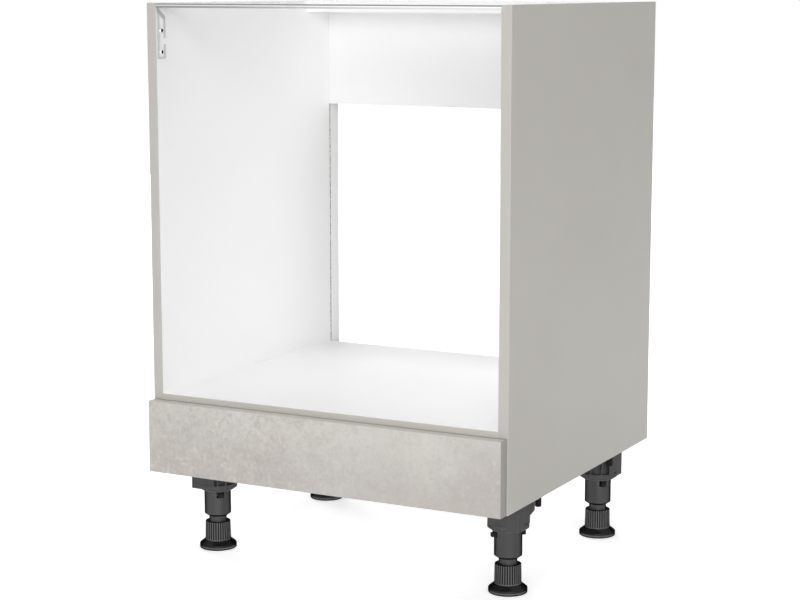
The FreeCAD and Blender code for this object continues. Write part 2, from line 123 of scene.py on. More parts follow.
class CabinetColours(bpy.types.PropertyGroup):
    """Colours of the cabinet's finishes, as they show on screen."""

    grey_board: colour("Grey board", "Outer faces and edges of the sides", 191, 188, 181)
    white_board: colour("White board", "Coated inner faces", 249, 249, 249)
    lacquer: colour("Lacquer", "Front face of the back strip", 246, 246, 246)
    chipboard: colour("Chipboard", "Bare cut edges of the boards", 190, 160, 120)
    groove: colour("Groove", "Cut board in the grooves of the sides", 214, 211, 206)
    hardboard: colour("Hardboard", "Bare rear face of the back strip", 140, 104, 72)
    side_band: colour("Side band", "Bands on the front edges of the sides", 193, 190, 185)
    shelf_band: colour("Shelf band", "Band on the front edge of the shelf", 200, 196, 190)
    concrete: colour("Concrete decor", "Lighter clouds of the front panel", 203, 200, 195)
    concrete_shade: colour("Concrete shade", "Darker clouds of the front panel", 190, 184, 180)
    concrete_stain: colour("Concrete stain", "Warmer stains of the front panel", 201, 196, 184)
    long_band: colour("Long band", "Bands along the top and the bottom of the front panel", 191, 187, 181)
    end_band: colour("End band", "Bands at the ends of the front panel", 150, 146, 140)
    zinc: colour("Zinc", "Zinc plated sheet", 243, 243, 243)
    screw: colour("Screw", "Zinc plated screws", 236, 236, 237)
    beech: colour("Beech", "Dowels", 205, 165, 118)
    socket_plastic: colour("Socket plastic", "Leg sockets", 86, 86, 86)
    leg_plastic: colour("Leg plastic", "Tubes and adjusters", 73, 73, 74)
    pad_plastic: colour("Pad plastic", "Foot pads", 46, 46, 47)
    floor: colour("Floor", "Studio floor", 245, 245, 245)


class FittingSizes(bpy.types.PropertyGroup):
    """Sizes of the turned fittings: adjusters, foot pads and screws."""

    grip_height: length("Grip height", "Height of the fluted grip", 0.0305)
    grip_top_radius: length("Grip top radius", "Radius of the grip at its upper edge", 0.0198)
    grip_ledge: length("Grip ledge", "Height of the plain ring under the flutes", 0.002)
    grip_round: length("Grip rounding", "Rounding of the grip's edges", 0.0008)
    flute_count: IntProperty(name="Flutes", description="Flutes round the grip", default=32, min=3)
    flute_radius: length("Flute radius", "Radius of a flute's hollow", 0.0013)
    flute_depth: length("Flute depth", "Depth of a flute", 0.0008)
    spindle_radius: length("Spindle radius", "Radius over the thread", 0.0138)
    neck: length("Neck", "Plain neck between grip and thread", 0.0115)
    thread_pitch: length("Thread pitch", "Rise of the thread in one turn", 0.005)
    thread_depth: length("Thread depth", "Depth of the thread", 0.0011)
    pivot_radius: length("Pivot radius", "Radius of the pad's pivot", 0.006)
    pivot_play: length("Pivot play", "Gap round the pivot", 0.0003)
    pivot_length: length("Pivot length", "Height of the pivot above the pad", 0.010)
    pad_rim: length("Pad rim", "Height of the pad's upright rim", 0.0072)
    pad_round: length("Pad rounding", "Rounding of the pad's rim", 0.0016)
    pad_height: length("Pad height", "Height of the pad without its pivot", 0.013)
    pad_top_radius: length("Pad top radius", "Radius of the pad's flat top", 0.022)
    screw_head_radius: length("Screw head radius", "Radius of a screw head", 0.004)
    screw_head_height: length("Screw head height", "Height of a screw head", 0.0022)
    screw_radius: length("Screw radius", "Radius over a screw's thread", 0.00175)
    screw_length: length("Screw length", "Length of a screw under its head", 0.014)
    recess_span: length("Recess span", "Span of the cross recess", 0.0046)
    recess_width: length("Recess width", "Width of the recess's arms", 0.001)
    recess_depth: length("Recess depth", "Depth of the recess", 0.0013)
    recess_core: length("Recess core", "Radius of the recess's round middle", 0.0029)


class StudioSettings(bpy.types.PropertyGroup):
    """Camera and light."""

    camera_place: FloatVectorProperty(
        name="Camera place", description="Where the camera stands", default=(1.4292, -2.7312, 0.8883),
        subtype="TRANSLATION", unit="LENGTH",
    )
    camera_turn: bearing("Camera turn", "Turn about the upright axis", 27.818)
    camera_drop: bearing("Camera drop", "Angle below the horizon", 9.108)
    lens: FloatProperty(
        name="Lens", description="Focal length in millimetres", default=89.0, min=1.0, unit="CAMERA",
    )
    ambient: portion("Ambient", "Light from all round", 0.2)
    key_power: lamp_power("Key", "Power of the light on the right", 196.0)
    front_power: lamp_power("Front", "Power of the light in front", 68.0)
    top_power: lamp_power("Top", "Power of the light above", 60.0)
    rear_power: lamp_power("Rear", "Power of the light behind", 270.0)
    floor_glow: portion("Floor glow", "Lift of the floor near the cabinet", 0.55)
    floor_near: length("Floor near", "Distance up to which the floor keeps its glow", 0.7)
    floor_far: length("Floor far", "Distance from which the floor is plain white", 1.8)


def linear(screen, gain=1.0):
    """A screen colour as the linear colour that a shader takes, times a gain."""
    value = np.asarray(screen[:3], float)
    light = np.where(value <= 0.04045, value / 12.92, ((value + 0.055) / 1.055) ** 2.4)
    return (*np.clip(light * gain, 0.0, 1.0).tolist(), 1.0)


class Finish:
    """A material being put together: adds nodes, joins them, and ends in one Principled shader."""

    def __init__(self, name, roughness, **sockets):
        self.material = bpy.data.materials.new(name)
        self.material.use_nodes = True
        self.tree = self.material.node_tree
        self.shader = self.tree.nodes["Principled BSDF"]
        self.place = self.add("ShaderNodeTexCoord").outputs["Object"]
        self.shader.inputs["Roughness"].default_value = roughness
        for socket, value in sockets.items():
            self.shader.inputs[socket.replace("_", " ").title().replace("Ior", "IOR")].default_value = value

    def add(self, kind, values=None, **settings):
        """Adds a node with its settings, and sets or joins its inputs."""
        node = self.tree.nodes.new(kind)
        for name, value in settings.items():
            setattr(node, name, value)
        for socket, value in (values or {}).items():
            self.put(node.inputs[socket], value)
        return node

    def put(self, socket, value):
        """Joins a socket to another, or sets its value."""
        if isinstance(value, bpy.types.NodeSocket):
            self.tree.links.new(value, socket)
        else:
            socket.default_value = value

    def stretched(self, stretch):
        """The place, scaled along each axis, so that a pattern is drawn out along the smaller ones."""
        return self.add(
            "ShaderNodeMapping", {"Vector": self.place, "Scale": stretch}
        ).outputs["Vector"]

    def noise(self, scale, detail=3.0, roughness=0.55, distortion=0.0, stretch=(1.0, 1.0, 1.0)):
        """Cloudy value from 0 to 1; scale counts clouds per metre."""
        node = self.add("ShaderNodeTexNoise", {
            "Vector": self.stretched(stretch), "Scale": scale, "Detail": detail,
            "Roughness": roughness, "Distortion": distortion,
        })
        return node.outputs["Fac"]

    def cells(self, scale, stretch=(1.0, 1.0, 1.0)):
        """Distance from the nearest of scattered points, and a chance value for each point's cell."""
        node = self.add("ShaderNodeTexVoronoi", {"Vector": self.stretched(stretch), "Scale": scale})
        chance = self.add("ShaderNodeSeparateColor", {"Color": node.outputs["Color"]})
        return node.outputs["Distance"], chance.outputs["Red"]

    def between(self, value, low, high, start=0.0, end=1.0):
        """Eases a value from start to end as it goes from low to high."""
        node = self.add("ShaderNodeMapRange", {
            "Value": value, "From Min": low, "From Max": high, "To Min": start, "To Max": end,
        }, interpolation_type="SMOOTHSTEP")
        return node.outputs["Result"]

    def calc(self, operation, *values):
        """One arithmetic step."""
        node = self.add("ShaderNodeMath", dict(enumerate(values)), operation=operation)
        return node.outputs[0]

    def chain(self, operation, first, *others):
        """The same arithmetic step with each of the other values in turn."""
        for other in others:
            first = self.calc(operation, first, other)
        return first

    def without(self, value):
        """1 less a value."""
        return self.calc("SUBTRACT", 1.0, value)

    def weigh(self, first, share, second):
        """A share of one value and the rest of another."""
        return self.calc("MULTIPLY_ADD", first, share, self.calc("MULTIPLY", second, 1.0 - share))

    def apart(self, value, middle):
        """How far a value lies from a middle."""
        return self.calc("ABSOLUTE", self.calc("SUBTRACT", value, middle))

    def blend(self, factor, first, second):
        """Mixes two colours."""
        node = self.add("ShaderNodeMix", {0: factor, 6: first, 7: second}, data_type="RGBA")
        return node.outputs[2]

    def axes(self):
        """The three coordinates of the place."""
        return self.add("ShaderNodeSeparateXYZ", {0: self.place}).outputs

    def near(self, value, target, reach=SKIN):
        """1 where a value lies within reach of a target, else 0."""
        return self.calc("COMPARE", value, target, reach)

    def within(self, value, low, high):
        """1 where a value lies from low to high, else 0."""
        return self.near(value, (low + high) / 2, (high - low) / 2)

    def attribute(self, name):
        """A value that is stored at the points of the mesh."""
        return self.add("ShaderNodeAttribute", attribute_name=name).outputs["Fac"]

    def tint(self, factor, screen, spread):
        """A screen colour whose brightness swings by spread as factor goes from 0 to 1."""
        return self.blend(factor, linear(screen, 1.0 - spread), linear(screen, 1.0 + spread))

    def relief(self, height, depth, strength=1.0):
        """Bumps of the given depth."""
        bump = self.add("ShaderNodeBump", {"Height": height, "Distance": depth, "Strength": strength})
        self.put(self.shader.inputs["Normal"], bump.outputs["Normal"])

    def paint(self, base, roughness=None):
        """Sets the colour and, where it varies, the roughness."""
        self.put(self.shader.inputs["Base Color"], base)
        if roughness is not None:
            self.put(self.shader.inputs["Roughness"], roughness)
        return self.material


def coat(finish, screen):
    """Melamine paper: one tone with a faint drift over the board and a finer grain."""
    drift = finish.noise(2.2, detail=2.0)
    grain = finish.noise(420.0, detail=2.0)
    return finish.tint(finish.weigh(grain, 0.35, drift), screen, 0.022)


def chips(finish, screen):
    """Cut chipboard: flakes of differing tone, drawn out along the board. Gives colour and height."""
    distance, chance = finish.cells(310.0, stretch=(0.5, 0.5, 1.0))
    fine = finish.noise(900.0, detail=3.0)
    tone = finish.blend(chance, linear(screen, 0.52), linear(screen, 1.22))
    tone = finish.blend(finish.between(fine, 0.35, 0.75, 0.0, 0.55), tone, linear(screen, 0.8))
    height = finish.calc("MULTIPLY_ADD", chance, 0.6, finish.calc("MULTIPLY", distance, 0.5))
    return tone, height


def board_finish(finish, tone, coated, bare_screen):
    """Joins a coat with its fine pearl texture, where coated is 1, with bare chipboard elsewhere."""
    bare, flake = chips(finish, bare_screen)
    uncoated = finish.without(coated)
    pearl = finish.noise(700.0, detail=2.0, roughness=0.6)
    pressed = finish.calc("MULTIPLY", pearl, finish.calc("MULTIPLY", coated, 0.06))
    finish.relief(finish.calc("ADD", pressed, finish.calc("MULTIPLY", flake, uncoated)), 0.00045, 0.7)
    sheen = finish.between(finish.noise(5.0), 0.3, 0.7, 0.36, 0.44)
    rough = finish.calc("MULTIPLY_ADD", uncoated, 0.45, sheen)
    return finish.paint(finish.blend(coated, bare, tone), rough)


def side_board(colours):
    """Sides: white towards the niche, grey paper on every other face, bare board in the groove.

    The groove is the back strip's box with the play that the strip has in it.
    """
    depth_play, width_play = 0.0007, 0.0004
    finish = Finish("grey_and_white_board", 0.4, specular_ior_level=0.35)
    x, y, _ = finish.axes()
    across = finish.calc("ABSOLUTE", x)
    low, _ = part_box("right_side_panel")
    strip_low, strip_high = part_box("back_strip")
    inner = finish.near(across, low.x)
    in_depth = finish.within(across, low.x - depth_play, strip_high.x + depth_play)
    in_width = finish.within(y, strip_low.y - width_play, strip_high.y + width_play)
    groove = finish.chain("MULTIPLY", in_depth, in_width, finish.without(inner))
    tone = finish.blend(inner, coat(finish, colours.grey_board), coat(finish, colours.white_board))
    return board_finish(finish, tone, finish.without(groove), colours.groove)


def white_board(node, colours):
    """Boards between the sides: white above, below and on the front edge, bare at the rear edge."""
    finish = Finish(f"white_board_{node}", 0.4, specular_ior_level=0.35)
    _, y, z = finish.axes()
    low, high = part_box(node)
    coated = finish.chain("MAXIMUM", finish.near(z, low.z), finish.near(z, high.z), finish.near(y, low.y))
    return board_finish(finish, coat(finish, colours.white_board), coated, colours.chipboard)


def hardboard(colours):
    """Back strip: white lacquer in front, bare brown fibre behind and on its edges."""
    finish = Finish("lacquered_hardboard", 0.45, specular_ior_level=0.35)
    _, y, _ = finish.axes()
    low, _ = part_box("back_strip")
    front = finish.near(y, low.y)
    fibre = finish.noise(260.0, detail=6.0, roughness=0.7, stretch=(0.35, 1.0, 1.0))
    cloud = finish.noise(9.0, detail=3.0)
    bare = finish.blend(fibre, linear(colours.hardboard, 0.62), linear(colours.hardboard, 1.3))
    bare = finish.blend(finish.between(cloud, 0.35, 0.7, 0.0, 0.4), bare, linear(colours.hardboard, 0.85))
    finish.relief(finish.calc("MULTIPLY", fibre, finish.calc("SUBTRACT", 1.15, front)), 0.00018, 0.6)
    rough = finish.calc("SUBTRACT", 0.8, finish.calc("MULTIPLY", front, 0.42))
    return finish.paint(finish.blend(front, bare, coat(finish, colours.lacquer)), rough)


def edge_band(name, screen, stretch, joint=None):
    """Satin plastic band: fine streaks along its length and a faint drift of tone.

    joint is the depth at which the band meets the boards behind it. A dark line of painted shadow, the gap
    at the joint in shade, runs along it; it begins line_start in front of the joint and is full from
    line_full on.
    """
    line_start, line_full = 0.0055, 0.0035
    finish = Finish(name, 0.42)
    streak = finish.noise(1.0, detail=3.0, stretch=stretch)
    tone = finish.tint(finish.weigh(streak, 0.6, finish.noise(3.0)), screen, 0.05)
    if joint is not None:
        _, y, _ = finish.axes()
        # Painted shadow of the gap where the band meets the boards behind it.
        line = finish.between(y, joint - line_start, joint - line_full)
        tone = finish.blend(line, tone, linear(screen, 0.45))
    finish.relief(streak, 0.00008, 0.5)
    return finish.paint(tone, finish.between(streak, 0.3, 0.7, 0.36, 0.48))


def concrete(colours):
    """Concrete decor: broad clouds with stains, mottling, blotches, trowel streaks, pores and specks.

    The clouds are denser low down and swell along the panel, with one swell in about its length; the
    finer marks are fainter towards the right.
    """
    swell_length, swell_middle = 0.45, -0.17
    finish = Finish("concrete_decor", 0.5)
    low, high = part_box("front_panel")
    x, _, z = finish.axes()
    cloud = finish.noise(6.0, detail=4.0, roughness=0.6, distortion=0.8, stretch=(0.75, 1.0, 1.3))
    # The panel turns darker towards the bottom.
    darker_low = finish.between(z, low.z, high.z, 0.36, 0.14)
    phase = finish.calc("MULTIPLY", finish.calc("SUBTRACT", x, swell_middle), FULL_TURN / swell_length)
    swell = finish.calc("MULTIPLY_ADD", finish.calc("COSINE", phase), 0.08, darker_low)
    fainter = finish.between(x, low.x / 3, high.x / 3, 1.0, 0.5)
    mottle = finish.noise(58.0, detail=5.0, roughness=0.7, distortion=0.7)
    blotch = finish.noise(165.0, detail=3.0, roughness=0.6, distortion=0.3)
    stain = finish.noise(15.0, detail=2.0, distortion=0.5)
    upright = finish.noise(1.0, detail=3.0, stretch=(260.0, 260.0, 60.0))
    level = finish.noise(1.0, detail=3.0, stretch=(50.0, 260.0, 260.0))
    speck = finish.noise(520.0, detail=2.0, roughness=0.7)
    distance, chance = finish.cells(105.0)
    pore = finish.calc(
        "MULTIPLY", finish.between(distance, 0.08, 0.18, 1.0, 0.0), finish.between(chance, 0.80, 0.82)
    )
    tone = finish.blend(
        finish.between(finish.calc("MULTIPLY_ADD", cloud, 0.5, swell), 0.30, 0.72),
        linear(colours.concrete, 1.075), linear(colours.concrete_shade, 0.965),
    )
    # Each layer's value, where it starts and where it is full, its most, its colour and gain.
    layers = (
        (stain, 0.46, 0.62, 0.45, colours.concrete_stain, 1.0),
        (mottle, 0.46, 0.70, 0.75, colours.concrete_shade, 0.90),
        (mottle, 0.46, 0.28, 0.65, colours.concrete, 1.16),
        (blotch, 0.52, 0.72, 0.60, colours.concrete_shade, 0.88),
        (blotch, 0.46, 0.30, 0.50, colours.concrete, 1.16),
        (upright, 0.54, 0.76, 0.20, colours.concrete, 1.14),
        (level, 0.54, 0.74, 0.34, colours.concrete_shade, 0.88),
        (speck, 0.60, 0.76, 0.40, colours.concrete_shade, 0.84),
    )
    for value, start, end, most, screen, gain in layers:
        share = finish.calc("MULTIPLY", finish.between(value, start, end, 0.0, most), fainter)
        tone = finish.blend(share, tone, linear(screen, gain))
    tone = finish.blend(finish.calc("MULTIPLY", pore, 0.45), tone, linear(colours.concrete_shade, 0.68))
    height = finish.calc("SUBTRACT", finish.calc("MULTIPLY_ADD", speck, 0.3, mottle), pore)
    finish.relief(height, 0.00012, 0.45)
    return finish.paint(tone, finish.between(mottle, 0.3, 0.7, 0.42, 0.56))


def zinc_sheet(name, screen, streaks, dull_shaded_bends=None):
    """Zinc plated sheet: small crystals, rolling lines and an uneven gloss, rougher and with painted shade
    along its bends.

    The last argument takes the finish and gives 1 where the bends get painted shade and a rougher gloss, and
    0 elsewhere.
    """
    finish = Finish(name, 0.34, metallic=0.85)
    distance, chance = finish.cells(260.0)
    line = finish.noise(1.0, detail=4.0, stretch=streaks)
    tone = finish.tint(finish.weigh(chance, 0.3, line), screen, 0.05)
    finish.relief(finish.calc("MULTIPLY_ADD", distance, 0.2, line), 0.00004, 0.4)
    rough = finish.calc("MULTIPLY_ADD", chance, 0.06, finish.between(line, 0.3, 0.7, 0.28, 0.36))
    if dull_shaded_bends:
        dull_and_shade = dull_shaded_bends(finish)
        # Painted shade on the bends: the colour falls to about a quarter there.
        tone = finish.blend(dull_and_shade, tone, linear(screen, 0.27))
        rough = finish.calc("MULTIPLY_ADD", dull_and_shade, 0.2, rough)
    return finish.paint(tone, rough)


def rail_bend_shade(finish):
    """Painted shade on the rail: a dark, rough line along the top of its lips and a fainter one along their
    lower edges.

    A fainter painted shade lies over the whole lip; it and the lower line fade towards the right, as painted
    light.
    """
    low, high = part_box("front_rail")
    upper_start, upper_full = high.z - 0.0022, high.z - 0.0014
    lower_start, lower_full = low.z + 0.0032, low.z + 0.0022
    x, _, z = finish.axes()
    sheet = finish.between(x, low.x * 0.7, high.x * 0.5, 0.40, 0.08)
    lower_shade_fade = finish.between(x, low.x, high.x * 0.8, 1.0, 0.4)
    upper = finish.between(z, upper_start, upper_full)
    lower = finish.calc("MULTIPLY", finish.between(z, lower_start, lower_full), lower_shade_fade)
    return finish.chain("MAXIMUM", upper, lower, sheet)


def tab_rim_shade(finish):
    """Painted shade on the tab's pressed rim: dark and rough along its front, rear and lower edges and under
    the slanted top.

    The slanted top leaves the rail's lower edge at the neck and falls by slope for each metre that it goes
    back. The painted shade on the rear rim breaks off between the two screws.
    """
    neck, slope, fade, slant_fade = 0.0025, 0.684, 0.0020, 0.0025
    front_rim, rear_rim, foot_rim, slant_rim, bright_half = 0.0060, 0.0040, 0.0025, 0.0075, 0.0035
    low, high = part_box("left_rail_tab")
    rail_low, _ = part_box("front_rail")
    between_screws = low.z + TAB_SCREW_FIRST + TAB_SCREW_PITCH / 2
    under_slant = rail_low.z + slope * (low.y + neck) - slant_rim
    _, y, z = finish.axes()
    front = finish.between(y, low.y + front_rim + fade, low.y + front_rim, 0.0, 0.40)
    rear = finish.between(y, high.y - rear_rim - fade, high.y - rear_rim, 0.0, 0.50)
    bright = finish.between(finish.apart(z, between_screws), bright_half + fade, bright_half)
    rear = finish.calc("MULTIPLY", rear, finish.without(bright))
    foot = finish.between(z, low.z + foot_rim + fade, low.z + foot_rim, 0.0, 0.45)
    above = finish.calc("MULTIPLY_ADD", y, slope, z)
    # Painted shadow under the slanted top.
    slant = finish.between(above, under_slant - slant_fade, under_slant, 0.0, 0.60)
    return finish.chain("MAXIMUM", front, rear, foot, slant)


def screw_steel(colours):
    """Zinc plated screw: turning marks on bright metal, and painted shade, near black, in the recess."""
    finish = Finish("zinc_plated_screw", 0.28, metallic=1.0)
    marks = finish.noise(2600.0, detail=2.0)
    cloud = finish.noise(300.0, detail=2.0)
    recess = finish.attribute("recess")
    bright = finish.tint(finish.weigh(marks, 0.4, cloud), colours.screw, 0.12)
    finish.relief(marks, 0.00002, 0.5)
    rough = finish.calc("MULTIPLY_ADD", recess, 0.5, finish.between(cloud, 0.3, 0.7, 0.22, 0.34))
    # Painted shade in the recess: the colour there is near black.
    return finish.paint(finish.blend(recess, bright, linear(colours.screw, 0.006)), rough)


def beech(colours):
    """Bare beech: long grain along the rod with the short dark flecks of its rays."""
    finish = Finish("bare_beech", 0.6)
    grain = finish.noise(1.0, detail=4.0, stretch=(40.0, 900.0, 900.0))
    fleck = finish.noise(1.0, detail=2.0, stretch=(300.0, 1800.0, 1800.0))
    tone = finish.tint(grain, colours.beech, 0.2)
    tone = finish.blend(finish.between(fleck, 0.6, 0.75, 0.0, 0.6), tone, linear(colours.beech, 0.5))
    finish.relief(grain, 0.0001, 0.5)
    return finish.paint(tone)


def moulded(finish, screen, low, high, grain_depth):
    """Moulded black plastic: fine eroded grain, faint flow clouds and a few paler scuffs. Gives its colour.

    Its roughness goes from low to high with the flow clouds.
    """
    grain = finish.noise(1500.0, detail=2.0, roughness=0.6)
    flow = finish.noise(40.0, detail=3.0, distortion=0.6, stretch=(1.0, 1.0, 0.4))
    scuff = finish.noise(120.0, detail=4.0, roughness=0.7, stretch=(1.0, 1.0, 0.2))
    tone = finish.tint(finish.weigh(grain, 0.4, flow), screen, 0.16)
    tone = finish.blend(finish.between(scuff, 0.62, 0.8, 0.0, 0.22), tone, linear(screen, 2.2))
    finish.relief(grain, grain_depth, 0.5)
    finish.put(finish.shader.inputs["Roughness"], finish.between(flow, 0.3, 0.7, low, high))
    return tone


def socket_plastic(corner, colours):
    """A leg's socket: matt moulded plastic, a painted highlight at its collar's foot, painted shade on
    tongues and pegs.

    The collar ends body_height under the top of the plate, and the tongues hang out below it. Under the
    plate only the pegs lie further out than peg_distance.
    """
    body_height, peg_distance, peg_fade = 0.050, 0.0416, 0.0004
    rim_start, rim_full, tongue_start, tongue_full = 0.0026, 0.0018, 0.0002, 0.0008
    low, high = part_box(f"{corner}_leg_socket")
    collar_foot, under_plate = high.z - body_height, high.z - SOCKET_PLATE
    finish = Finish(f"socket_plastic_{corner}", 0.5, specular_ior_level=0.03)
    tone = moulded(finish, colours.socket_plastic, 0.46, 0.58, 0.00006)
    x, y, z = finish.axes()
    aside = finish.calc("SUBTRACT", x, (low.x + high.x) / 2)
    behind = finish.calc("SUBTRACT", y, (low.y + high.y) / 2)
    square = finish.calc("MULTIPLY_ADD", aside, aside, finish.calc("MULTIPLY", behind, behind))
    outside = finish.between(finish.calc("SQRT", square), peg_distance, peg_distance + peg_fade)
    peg = finish.calc("MULTIPLY", outside, finish.between(z, under_plate, under_plate - peg_fade))
    # Painted highlight along the collar's foot; painted shade, near black, on the tongues and the pegs.
    rim = finish.between(z, collar_foot + rim_start, collar_foot + rim_full)
    tongue = finish.between(z, collar_foot - tongue_start, collar_foot - tongue_full)
    dark = finish.calc("MULTIPLY", finish.calc("MAXIMUM", tongue, peg), 0.9)
    tone = finish.blend(rim, tone, linear(colours.socket_plastic, 1.7))
    return finish.paint(finish.blend(dark, tone, linear(colours.socket_plastic, 0.1)))


def satin(name):
    """The finish of satin plastic: lamps show as a soft sheen on it, and it darkens towards its edges."""
    return Finish(name, 0.32, metallic=0.9, specular_ior_level=0.03, specular_tint=(0.05, 0.05, 0.05, 1.0))


def tube_plastic(colours):
    """Tubes: satin moulded plastic."""
    finish = satin("tube_plastic")
    return finish.paint(moulded(finish, colours.leg_plastic, 0.28, 0.36, 0.00006))


def adjuster_plastic(colours, ledge_low, ledge_high):
    """Adjusters: satin plastic, painted shade down in the flutes and the thread, painted highlights on
    ridges and ledge.
    """
    finish = satin("adjuster_plastic")
    tone = moulded(finish, colours.leg_plastic, 0.28, 0.36, 0.00005)
    hollow = finish.between(finish.attribute("hollow"), 0.1, 0.8, 0.0, 0.85)
    ridge = finish.between(finish.attribute("ridge"), 0.5, 0.95, 0.0, 0.8)
    _, _, z = finish.axes()
    ledge = finish.calc("MULTIPLY", finish.within(z, ledge_low, ledge_high), 0.7)
    # Painted shade in the hollows, painted highlights on the ridges and the ledge.
    for place, gain in ((hollow, 0.16), (ridge, 1.9), (ledge, 1.8)):
        tone = finish.blend(place, tone, linear(colours.leg_plastic, gain))
    return finish.paint(tone)


def pad_plastic(colours, rim_low, rim_high):
    """Foot pads: satin black plastic, with a painted highlight along a line round the middle of the upright
    rim.
    """
    line_start, line_full = (rim_high - rim_low) * 0.25, (rim_high - rim_low) * 0.08
    finish = satin("pad_plastic")
    tone = moulded(finish, colours.pad_plastic, 0.28, 0.36, 0.00003)
    _, _, z = finish.axes()
    off_line = finish.apart(z, (rim_low + rim_high) / 2)
    # Painted highlight along the middle of the rim.
    rim_highlight = finish.between(off_line, line_start, line_full, 0.0, 0.85)
    return finish.paint(finish.blend(rim_highlight, tone, linear(colours.pad_plastic, 4.6)))


def dress(node, material):
    """Gives a CAD node's object one material."""
    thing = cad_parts[node]
    if not thing.material_slots:
        thing.data.materials.append(material)
    for slot in thing.material_slots:
        slot.material = material


def soften(node, width):
    """Joins a node's loose triangles and rounds its sharp edges, as live modifiers."""
    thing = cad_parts[node]
    weld = thing.modifiers.new("joined", "WELD")
    weld.merge_threshold = 1e-6
    bevel = thing.modifiers.new("rounded", "BEVEL")
    bevel.width = width
    bevel.segments = 2
    bevel.limit_method = "ANGLE"
    bevel.angle_limit = math.radians(40)
    bevel.use_clamp_overlap = True
    bevel.harden_normals = False


def eased(corners, steps=5):
    """An open outline of (radius, height, rounding) corners with rounded bends.

    At each inner corner an arc of the given rounding touches both runs: it starts r / tan(half the bend)
    from the corner, and its centre lies on the line that halves the bend.
    """
    table = np.asarray(corners, float)
    points = table[:, :2]
    outline = [points[:1]]
    for before, corner, after, radius in zip(points[:-2], points[1:-1], points[2:], table[1:-1, 2]):
        if radius <= 0.0:
            outline.append(corner[None])
            continue
        back = (before - corner) / np.linalg.norm(before - corner)
        on = (after - corner) / np.linalg.norm(after - corner)
        half = math.acos(np.clip(np.dot(back, on), -1.0, 1.0)) / 2
        centre = corner + (back + on) / np.linalg.norm(back + on) * radius / math.sin(half)
        start = corner + back * radius / math.tan(half) - centre
        end = corner + on * radius / math.tan(half) - centre
        share = np.linspace(0.0, 1.0, steps)[:, None]
        chord = start * (1 - share) + end * share
        outline.append(centre + chord / np.linalg.norm(chord, axis=1, keepdims=True) * radius)
    outline.append(points[-1:])
    return np.concatenate(outline)


def refined(outline, step):
    """The same outline with points no further apart than step, corner points kept."""
    runs = np.linalg.norm(np.diff(outline, axis=0), axis=1)
    counts = np.maximum(np.ceil(runs / step).astype(int), 1)
    pieces = [
        np.linspace(first, second, count, endpoint=False)
        for first, second, count in zip(outline[:-1], outline[1:], counts)
    ]
    return np.concatenate(pieces + [outline[-1:]])


def carried_round(outline, columns):
    """An outline's radius and height, the same at every column round the axis, and the columns' angles."""
    radius, height = np.repeat(outline.T[:, :, None], columns, axis=2)
    return radius, height, np.linspace(0.0, FULL_TURN, columns, endpoint=False)


def ramp(value, width, start=0.0):
    """Rises from start by 1 for each width of the value, and stays between 0 and 1."""
    return np.clip(value / width + start, 0.0, 1.0)


def turned_faces(rows, columns):
    """Faces of a closed turned grid: a fan at each pole and quads between, all facing outwards.

    Point 0 is the first pole, then come the rows between the poles, then the last pole.
    """
    ring = np.arange(columns)
    after = (ring + 1) % columns
    starts = 1 + columns * np.arange(rows - 3)[:, None]
    quads = np.stack(
        [starts + ring, starts + after, starts + columns + after, starts + columns + ring], axis=-1
    ).reshape(-1, 4)
    last = 1 + columns * (rows - 3)
    top = last + columns
    first_fan = np.stack([np.zeros_like(ring), 1 + after, 1 + ring], axis=-1)
    last_fan = np.stack([np.full_like(ring, top), last + ring, last + after], axis=-1)
    return quads, np.concatenate([first_fan, last_fan])


def turned_points(radius, height):
    """Points of a closed turned grid: (r cos a, r sin a, z) at each row and column, one for each pole."""
    angle = np.linspace(0.0, FULL_TURN, radius.shape[1], endpoint=False)
    grid = np.stack([radius * np.cos(angle), radius * np.sin(angle), height], axis=-1)
    return np.concatenate([grid[:1, 0], grid[1:-1].reshape(-1, 3), grid[-1:, 0]])


def point_values(grid):
    """A grid's values in the order of its points: the first pole, the rows between, the last pole."""
    return np.concatenate([grid[:1, 0], grid[1:-1].ravel(), grid[-1:, 0]])


def mark(thing, name, values):
    """Stores a value for each point of an object's mesh, for its material to read."""
    attribute = thing.data.attributes.new(name, "FLOAT", "POINT")
    attribute.data.foreach_set("value", values.astype(np.float32))


def make_piece(name, points, quads, fans, material, body, slot):
    """A smooth mesh object from points and faces, riding on a body."""
    mesh = bpy.data.meshes.new(name)
    mesh.from_pydata(points.tolist(), [], quads.tolist() + fans.tolist())
    mesh.shade_smooth()
    mesh.set_sharp_from_angle(angle=math.radians(38))
    mesh.materials.append(material)
    thing = bpy.data.objects.new(name, mesh)
    bpy.context.scene.collection.objects.link(thing)
    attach(thing, body)
    return thing


def turned_piece(name, node, radius, height, material, body, slot):
    """A turned grid made a piece about the upright middle line of the node that it takes the place of."""
    low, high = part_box(node)
    points = turned_points(radius, height)
    points[:, :2] += np.array((low + high) / 2)[:2]
    thing = make_piece(name, points, *turned_faces(*radius.shape), material, body, slot)
    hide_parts(node)
    return thing


